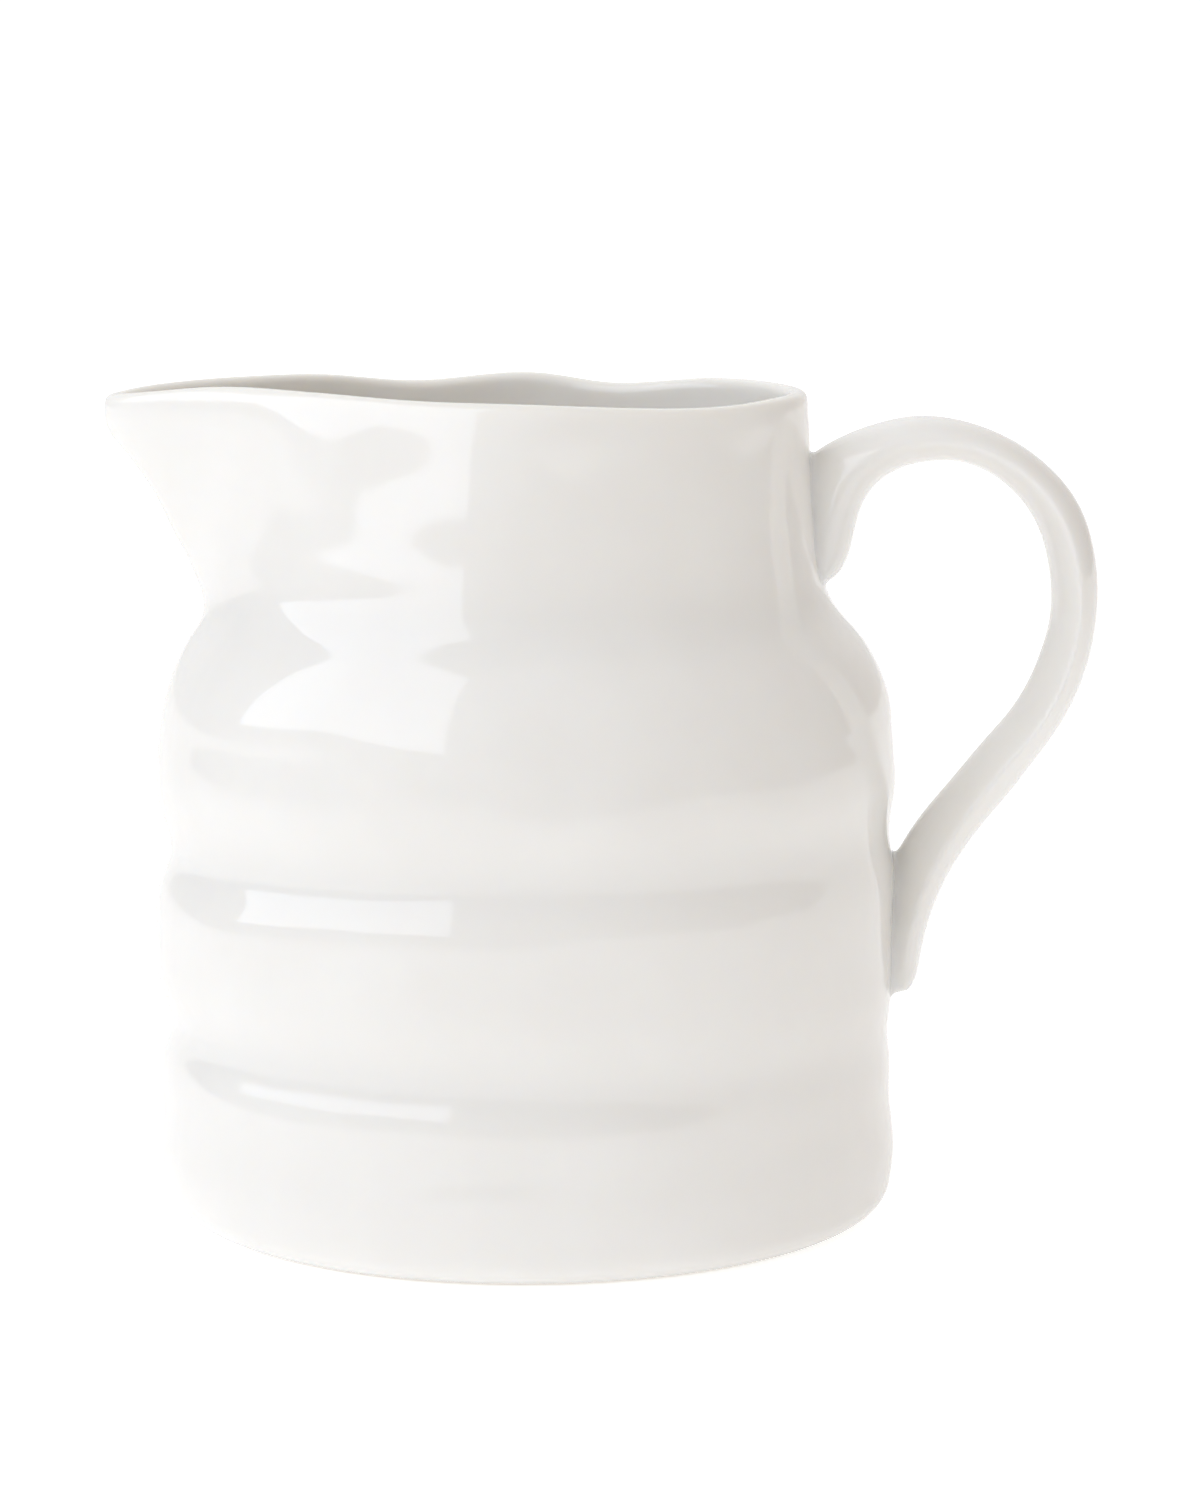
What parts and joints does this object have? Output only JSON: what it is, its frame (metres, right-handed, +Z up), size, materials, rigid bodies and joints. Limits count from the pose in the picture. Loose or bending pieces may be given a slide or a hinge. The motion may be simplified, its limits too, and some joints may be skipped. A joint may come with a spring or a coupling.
{
  "type": "ceramic pitcher",
  "caption": "Round glazed stoneware milk pitcher with throwing grooves, a pulled pouring spout and a strap handle.",
  "frame": {"origin": "centre of the foot, on the surface that the pitcher stands on", "axes": "+Z up along the axis of the pot, +X towards the handle, -X towards the spout, +Y across it"},
  "size_m": [0.1931, 0.147, 0.1615],
  "materials": {
    "glazed_body": "gloss",
    "glazed_handle": "gloss",
    "slip": "gloss"
  },
  "bodies": {
    "root": {"vessel_body": "glazed_body", "handle": "glazed_handle", "upper_slip_joint": "slip", "lower_slip_joint": "slip"}
  },
  "joints": []
}
